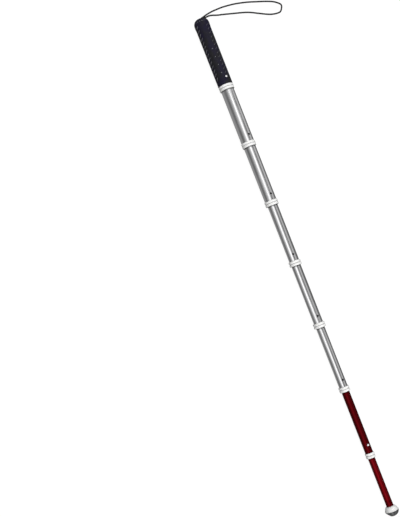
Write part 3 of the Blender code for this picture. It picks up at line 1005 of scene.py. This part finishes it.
class CANE_OT_springs(bpy.types.Operator):
    """Build the coil springs"""

    bl_idname = "cane.springs"
    bl_label = "Springs"

    def execute(self, context):
        pin = context.scene.cane.pin
        for number in range(1, SECTIONS + 1):
            node = f"button_spring_{number}"
            bottom, top = pin_heights(node, number)
            shape = bmesh.new()
            bmesh.ops.create_circle(shape, cap_ends=False, segments=pin.wire_sides, radius=pin.wire / 2)
            upright = Matrix.Rotation(math.pi / 2, 3, "X")
            bmesh.ops.rotate(shape, verts=shape.verts, cent=(0, 0, 0), matrix=upright)
            start = (pin.shoulder_radius - pin.wire, 0.0, bottom + pin.wire / 2)
            bmesh.ops.translate(shape, verts=shape.verts, vec=start)
            steps = round(pin.turns * pin.turn_steps)
            bmesh.ops.spin(
                shape,
                geom=shape.verts[:] + shape.edges[:],
                cent=(0, 0, 0),
                axis=(0, 0, 1),
                dvec=(0, 0, (top - bottom - pin.wire) / steps),
                angle=math.tau * pin.turns,
                steps=steps,
            )
            bmesh.ops.holes_fill(shape, edges=[edge for edge in shape.edges if edge.is_boundary], sides=0)
            bmesh.ops.recalc_face_normals(shape, faces=shape.faces)
            stand_on_pin_line(shape, number)
            coil = object_from(f"button_spring_{number}_wound", shape, look("spring wire"))
            hand_over(coil, node)
            go_in_with(coil)
        return {"FINISHED"}


# Tip

# How the body widens from its neck to its rim, as (share of its length, share of the widening), and the foot
# of the rim, as (distance before the rim, height)
TIP_SWELL = (
    (0.07, 0.18), (0.14, 0.32), (0.27, 0.49), (0.40, 0.62), (0.54, 0.76), (0.68, 0.88), (0.78, 0.96)
)
RIM_FOOT = ((0.0004, 0.0), (0.0001, 0.0002))

# Rounding of the spigot's end, how far the pad stands inside the rim, how finely its dome is rounded, and
# the rounding of its worn flat
SPIGOT_EDGE = 0.0006
PAD_INSET = 0.0002
PAD_DOME_STEPS = 18
FLAT_EDGE = 0.0005


def wear_flat(shape, start, end):
    """Cuts the flat that rubbing on the ground leaves, upright through two (along, across) points."""
    run = Vector((end[0] - start[0], end[1] - start[1], 0.0)).normalized()
    outwards = Vector((run.y, -run.x, 0.0))
    cut = bmesh.ops.bisect_plane(
        shape,
        geom=shape.verts[:] + shape.edges[:] + shape.faces[:],
        dist=MERGE_DISTANCE / 2,
        plane_co=(END_X + start[0], start[1], AXIS_HEIGHT),
        plane_no=outwards,
        clear_outer=True,
    )
    rim = [item for item in cut["geom_cut"] if isinstance(item, bmesh.types.BMEdge)]
    bmesh.ops.contextual_create(shape, geom=rim)
    bmesh.ops.bevel(
        shape,
        geom=rim,
        offset=FLAT_EDGE,
        offset_type="OFFSET",
        affect="EDGES",
        segments=2,
        profile=0.5,
        material=-1,
    )
    bmesh.ops.recalc_face_normals(shape, faces=shape.faces)


def tip_body_outline(tip, spigot, shoulder):
    """The white body from its spigot's end to the nose that holds the pad."""
    start, end = ends_of("tip_body")
    first = shoulder - tip.body_length
    rim = radius_of("tip_body")
    rim_start = shoulder - tip.rim_length
    flared = rim - tip.rim_step
    outline = [
        (start, 0.0),
        (start, spigot - SPIGOT_EDGE),
        (start + SPIGOT_EDGE, spigot),
        (first, spigot),
        (first, tip.neck_radius - FINE_EDGE),
        (first + FINE_EDGE, tip.neck_radius),
    ]
    for share, swell in TIP_SWELL:
        along = first + tip.body_length * share
        outline.append((along, tip.neck_radius + (flared - tip.neck_radius) * swell))
    outline += [(rim_start - before, flared + height) for before, height in RIM_FOOT]
    outline += [
        (rim_start, rim - EDGE),
        (rim_start + EDGE, rim),
        (shoulder - EDGE, rim),
        (shoulder, rim - EDGE),
        (shoulder, tip.nose_radius),
        (end - EDGE, tip.nose_radius),
        (end, tip.nose_radius - EDGE),
        (end, 0.0),
    ]
    return outline


def pad_outline(tip, start, wide):
    """The pad's recess for the nose, and its dome down to the wear face."""
    end = ends_of("tip_pad")[1]
    recess_end = ends_of("tip_body")[1] + GAP
    recess = tip.nose_radius + GAP
    outline = [(recess_end, 0.0), (recess_end, recess), (start, recess), (start, wide - FINE_EDGE)]
    last_angle = math.acos(tip.wear_face_radius / wide)
    flatness = (end - start) / math.sin(last_angle)
    outline.append((start + FINE_EDGE, wide))
    for step in range(1, PAD_DOME_STEPS + 1):
        angle = last_angle * step / PAD_DOME_STEPS
        outline.append((start + flatness * math.sin(angle), wide * math.cos(angle)))
    return outline + [(end, 0.0)]


class CANE_OT_tip(bpy.types.Operator):
    """Build the tip's white body and its domed pad"""

    bl_idname = "cane.tip"
    bl_label = "Tip"

    def execute(self, context):
        tip = context.scene.cane.tip
        spigot = radius_of("tube_7") - context.scene.cane.tube.wall - GAP
        shoulder = ends_of("tip_body")[1] - tip.nose_length
        shape = spin_outline(tip_body_outline(tip, spigot, shoulder), tip.sides, False)
        body = object_from("tip_body_turned", shape, look("white nylon"), 50.0)
        hand_over(body, "tip_body")

        start = shoulder + GAP
        wide = radius_of("tip_body") - PAD_INSET
        shape = spin_outline(pad_outline(tip, start, wide), tip.sides, False)
        wear_flat(shape, (start + tip.flat_start, -wide), (ends_of("tip_pad")[1], -tip.flat_end))
        pad = object_from("tip_pad_domed", shape, look("tip pad"), 50.0)
        hand_over(pad, "tip_pad")
        return {"FINISHED"}


# Wrist cord

# Facets round the cord, rings in one crossing of its braid, points of the curve between two of the route,
# and how the two strands lean where they leave the handle
CORD_SIDES = 16
PLAIT_STEPS = 4
ROUTE_STEPS = 8
STRAND_LEAN = math.radians(52)

# The height of the cord's middle where it lies, and its route: along the cane from the handle's end,
# sideways, and up from the surface
CORD_LAID = 0.0020
CORD_ROUTE = (
    (0.0012, 0.0016, 0.0192),
    (-0.0006, 0.0036, 0.0182),
    (-0.0021, 0.0064, 0.0168),
    (-0.0037, 0.0100, 0.0149),
    (-0.0055, 0.0140, 0.0127),
    (-0.0074, 0.0183, 0.0105),
    (-0.0092, 0.0231, 0.0082),
    (-0.0108, 0.0285, 0.0060),
    (-0.0124, 0.0350, 0.0040),
    (-0.0133, 0.0424, 0.0025),
    (-0.0138, 0.0520, CORD_LAID),
    (-0.0137, 0.0631, CORD_LAID),
    (-0.0112, 0.0873, CORD_LAID),
    (-0.0072, 0.1066, CORD_LAID),
    (-0.0026, 0.1236, CORD_LAID),
    (0.0043, 0.1438, CORD_LAID),
    (0.0101, 0.1604, CORD_LAID),
    (0.0171, 0.1763, CORD_LAID),
    (0.0254, 0.1876, CORD_LAID),
    (0.0332, 0.1918, CORD_LAID),
    (0.0450, 0.1852, CORD_LAID),
    (0.0466, 0.1753, CORD_LAID),
    (0.0439, 0.1619, CORD_LAID),
    (0.0385, 0.1494, CORD_LAID),
    (0.0303, 0.1338, CORD_LAID),
    (0.0190, 0.1110, CORD_LAID),
    (0.0085, 0.0757, CORD_LAID),
    (0.0027, 0.0550, CORD_LAID),
    (0.0009, 0.0475, CORD_LAID),
    (-0.0012, 0.0405, CORD_LAID),
    (-0.0034, 0.0345, 0.0023),
    (-0.0045, 0.0295, 0.0035),
    (-0.0047, 0.0246, 0.0050),
    (-0.0040, 0.0200, 0.0067),
    (-0.0030, 0.0155, 0.0085),
    (-0.0024, 0.0115, 0.0104),
    (-0.0021, 0.0075, 0.0119),
    (-0.0019, 0.0040, 0.0134),
    (-0.0009, 0.0012, 0.0150),
    (0.0012, -0.0006, 0.0163),
)


def smooth_route(points, per_span):
    """Points on a Catmull-Rom curve through the route's own points."""
    route = [Vector(point) for point in points]
    route = [route[0] * 2 - route[1]] + route + [route[-1] * 2 - route[-2]]
    smooth = []
    for a, b, c, d in zip(route, route[1:], route[2:], route[3:]):
        for step in range(per_span):
            t = step / per_span
            bend = (2 * a - 5 * b + 4 * c - d) * t**2 + (3 * b - a - 3 * c + d) * t**3
            smooth.append((2 * b + (c - a) * t + bend) / 2)
    smooth.append(route[-2])
    return smooth


def even_points(points, spacing):
    """The same line with points at equal distances."""
    lengths = [0.0]
    for a, b in zip(points, points[1:]):
        lengths.append(lengths[-1] + (b - a).length)
    count = max(2, round(lengths[-1] / spacing))
    found = []
    span = 0
    for number in range(count + 1):
        goal = lengths[-1] * number / count
        while span < len(points) - 2 and lengths[span + 1] < goal:
            span += 1
        share = (goal - lengths[span]) / max(lengths[span + 1] - lengths[span], MICRON)
        found.append(points[span].lerp(points[span + 1], share))
    return found, lengths[-1]


def cord_line(cord, throat):
    """The whole cord from its knot round the loop and back, as evenly spaced points, and its length."""
    inside = ends_of("cord_knot")[0] - GAP
    lean = Vector((0.0, math.cos(STRAND_LEAN), math.sin(STRAND_LEAN))) * cord.strands_apart / 2
    straight = [AXIS + Vector((along, 0.0, 0.0)) for along in (inside, (inside + throat) / 2, throat)]
    first = [place + lean for place in straight]
    last = [place - lean for place in reversed(straight)]
    route = smooth_route(first + list(CORD_ROUTE) + last, ROUTE_STEPS)
    end = Vector((END_X, 0.0, 0.0))
    return even_points([end + point for point in route], cord.lay / PLAIT_STEPS)


def cord_mesh(line, radius):
    """A round skin along the line, whose corners come in rings of CORD_SIDES."""
    curve = bpy.data.curves.new("cord_line", "CURVE")
    curve.dimensions = "3D"
    curve.bevel_depth = radius
    curve.bevel_resolution = CORD_SIDES // 2 - 2
    curve.use_fill_caps = True
    spline = curve.splines.new("POLY")
    spline.points.add(len(line) - 1)
    for knot, point in zip(spline.points, line):
        knot.co = (*point, 1.0)
    guide = placed("cord_line", curve)
    graph = bpy.context.evaluated_depsgraph_get()
    mesh = bpy.data.meshes.new_from_object(guide.evaluated_get(graph))
    bpy.data.objects.remove(guide, do_unlink=True)
    return mesh


def plait_strands(mesh, relief):
    """Lowers the cord's surface between the strands of the braid, and keeps the pattern as plait."""
    values = []
    for corner in mesh.vertices:
        ring, side = divmod(corner.index, CORD_SIDES)
        wave = math.cos(math.tau * ring / PLAIT_STEPS) * math.cos(math.tau * side / PLAIT_STEPS)
        values.append((1 + wave) / 2)
    normals = [corner.normal.copy() for corner in mesh.vertices]
    for corner, normal, value in zip(mesh.vertices, normals, values):
        corner.co -= normal * relief * (1 - value)
    attribute = mesh.attributes.new("plait", "FLOAT", "POINT")
    attribute.data.foreach_set("value", values)


class CANE_OT_cord(bpy.types.Operator):
    """Build the braided wrist cord"""

    bl_idname = "cane.cord"
    bl_label = "Wrist cord"

    def execute(self, context):
        cord = context.scene.cane.cord
        line, length = cord_line(cord, context.scene.cane.grip.funnel_length)
        mesh = cord_mesh(line, cord.radius)
        plait_strands(mesh, cord.relief)
        mesh.materials.clear()
        mesh.materials.append(look("braided cord"))
        mesh.shade_smooth()
        braid = placed("wrist_cord_braided", mesh)
        hand_over(braid, "wrist_cord")
        return {"FINISHED"}


# Pieces that don't show


class CANE_OT_inner_parts(bpy.types.Operator):
    """Give the plugs and the knot inside the cane their finishes"""

    bl_idname = "cane.inner_parts"
    bl_label = "Inner parts"

    def execute(self, context):
        finishes = {"handle_end_plug": "inner plastic", "cord_knot": "braided cord"}
        for number in range(1, SECTIONS + 1):
            finishes[f"guide_plug_{number}"] = "inner plastic"
        for node, finish in finishes.items():
            materials = frame["nodes"][node].data.materials
            materials.clear()
            materials.append(look(finish))
        return {"FINISHED"}


# Stage

# The light tent: its brightness by the angle round the cane in degrees, how far that is turned by the way
# that the light comes from along the cane, and how bright it is as a whole by that way
TENT_STOPS = (
    (-180, 0.26), (-144, 0.32), (-116, 0.30), (-96, 0.20), (-85, 0.14), (-74, 0.15), (-56, 0.30),
    (-39, 0.50), (-23, 0.85), (-8, 1.60), (5, 1.05), (14, 0.56), (24, 0.27), (34, 0.17), (44, 0.24),
    (56, 0.55), (66, 0.60), (79, 0.40), (94, 0.20), (112, 0.12), (144, 0.16), (180, 0.26),
)
TENT_TURNS = (
    (-0.300, -54), (-0.258, -54), (-0.250, -26), (-0.182, -17), (-0.176, -18), (-0.109, -9), (-0.103, 2),
    (-0.034, 10), (-0.028, 14), (0.043, 20), (0.048, 0), (0.120, 4), (0.300, 4),
)
TENT_SHARES = ((-0.300, 1.00), (0.118, 1.00), (0.126, 0.75), (0.200, 0.75), (0.206, 1.20), (0.300, 1.20))

# What the ramps of turns and of brightness hold
TURN_RANGE = (-60.0, 60.0)
GLOW_RANGE = (0.0, 2.0)

# The way that the key light shines
KEY_WAY = (0.0, -0.25, -1.0)


def stepped_ramp(tree, value, stops, bottom, top):
    """A value looked up in stops of (value, result), which the ramp holds between bottom and top."""
    low, high = stops[0][0], stops[-1][0]
    share = chain(tree, "ShaderNodeMapRange", {"Value": value, "From Min": low, "From Max": high})
    node = chain(tree, "ShaderNodeValToRGB", {0: share.outputs["Result"]})
    ramp = node.color_ramp
    ramp.interpolation = "EASE"
    while len(ramp.elements) < len(stops):
        ramp.elements.new(0.5)
    for element, (place, result) in zip(ramp.elements, stops):
        element.position = (place - low) / (high - low)
        grey = (result - bottom) / (top - bottom)
        element.color = (grey, grey, grey, 1.0)
    return between(tree, node.outputs["Color"], bottom, top)


def light_tent(strength):
    """A world that is a soft light tent, brightest overhead. The camera sees it plain white.

    Its brightness follows the angle round the cane, 0 overhead and less than that towards -Y. It is turned by
    other angles, and is as a whole darker or brighter, for each stretch of the cane.
    """
    world = bpy.data.worlds.new("light tent")
    world.use_nodes = True
    tree = world.node_tree
    tree.nodes.clear()
    place = chain(tree, "ShaderNodeTexCoord")
    apart = chain(tree, "ShaderNodeSeparateXYZ", {0: place.outputs["Generated"]})
    angle = calculated(tree, "ARCTAN2", apart.outputs["Y"], apart.outputs["Z"])
    degrees = calculated(tree, "DEGREES", angle)
    turn = stepped_ramp(tree, apart.outputs["X"], TENT_TURNS, *TURN_RANGE)
    brightness = stepped_ramp(tree, calculated(tree, "ADD", degrees, turn), TENT_STOPS, *GLOW_RANGE)
    share = stepped_ramp(tree, apart.outputs["X"], TENT_SHARES, *GLOW_RANGE)
    shared = calculated(tree, "MULTIPLY", brightness, share)
    glow = chain(tree, "ShaderNodeBackground", {"Color": shared, "Strength": strength})
    plain = chain(tree, "ShaderNodeBackground", {"Color": (1.0, 1.0, 1.0, 1.0), "Strength": 1.0})
    seen = chain(tree, "ShaderNodeLightPath").outputs["Is Camera Ray"]
    both = chain(tree, "ShaderNodeMixShader", {0: seen, 1: glow.outputs[0], 2: plain.outputs[0]})
    out = tree.nodes.new("ShaderNodeOutputWorld")
    tree.links.new(both.outputs[0], out.inputs["Surface"])
    return world


class CANE_OT_stage(bpy.types.Operator):
    """Build the floor, the soft light and the camera"""

    bl_idname = "cane.stage"
    bl_label = "Stage"

    def execute(self, context):
        stage = context.scene.cane.stage
        shape = bmesh.new()
        bmesh.ops.create_grid(shape, x_segments=8, y_segments=8, size=4.0)
        made, _, shader = new_look("pale floor", Roughness=0.8)
        shader.inputs["Base Color"].default_value = (*stage.floor_colour, 1.0)
        shader.inputs["Emission Color"].default_value = (1.0, 1.0, 1.0, 1.0)
        shader.inputs["Emission Strength"].default_value = stage.floor_glow
        floor = object_from("floor", shape, made)
        floor.visible_glossy = False
        floor.visible_diffuse = False

        context.scene.world = light_tent(stage.tent_strength)
        key = bpy.data.lights.new("key", "SUN")
        key.energy = stage.key_strength
        key.angle = stage.key_spread
        key_light = placed("key", key)
        key_light.rotation_euler = Vector(KEY_WAY).to_track_quat("-Z", "Y").to_euler()
        key_light.visible_glossy = False

        lens = bpy.data.cameras.new("camera")
        lens.lens = stage.lens
        lens.sensor_width = 36.0
        lens.clip_start = 0.05
        lens.clip_end = 20.0
        camera = placed("camera", lens)
        camera.matrix_world = (
            Matrix.Translation(stage.camera_place)
            @ Matrix.Rotation(stage.camera_tilt, 4, "Y")
            @ Matrix.Rotation(stage.camera_turn, 4, "Z")
        )
        context.scene.camera = camera
        context.scene.view_settings.view_transform = "Standard"
        return {"FINISHED"}


OPERATORS = (
    CANE_OT_cord,
    CANE_OT_grip,
    CANE_OT_tubes,
    CANE_OT_collars,
    CANE_OT_pins,
    CANE_OT_springs,
    CANE_OT_tip,
    CANE_OT_inner_parts,
    CANE_OT_stage,
)


class CANE_PT_panel(bpy.types.Panel):
    bl_idname = "CANE_PT_panel"
    bl_label = "Telescopic White Cane"
    bl_space_type = "VIEW_3D"
    bl_region_type = "UI"
    bl_category = "Cane"

    def draw(self, context):
        for step in OPERATORS:
            self.layout.operator(step.bl_idname)
        for group in ("grip", "tube", "collar", "pin", "tip", "cord", "stage"):
            settings = getattr(context.scene.cane, group)
            box = self.layout.box()
            box.label(text=group.capitalize())
            for name in settings.bl_rna.properties.keys():
                if name not in ("rna_type", "name"):
                    box.prop(settings, name)


CLASSES = (
    CaneGripSettings,
    CaneTubeSettings,
    CaneCollarSettings,
    CanePinSettings,
    CaneTipSettings,
    CaneCordSettings,
    CaneStageSettings,
    CaneSettings,
    *OPERATORS,
    CANE_PT_panel,
)


def register():
    for item in CLASSES:
        bpy.utils.register_class(item)
    bpy.types.Scene.cane = PointerProperty(type=CaneSettings)


def unregister():
    del bpy.types.Scene.cane
    for item in reversed(CLASSES):
        bpy.utils.unregister_class(item)


def main():
    register()
    bpy.ops.cane.cord()
    bpy.ops.cane.grip()
    bpy.ops.cane.tubes()
    bpy.ops.cane.collars()
    bpy.ops.cane.pins()
    bpy.ops.cane.springs()
    bpy.ops.cane.tip()
    bpy.ops.cane.inner_parts()
    bpy.ops.cane.stage()


if __name__ == "__main__":
    main()
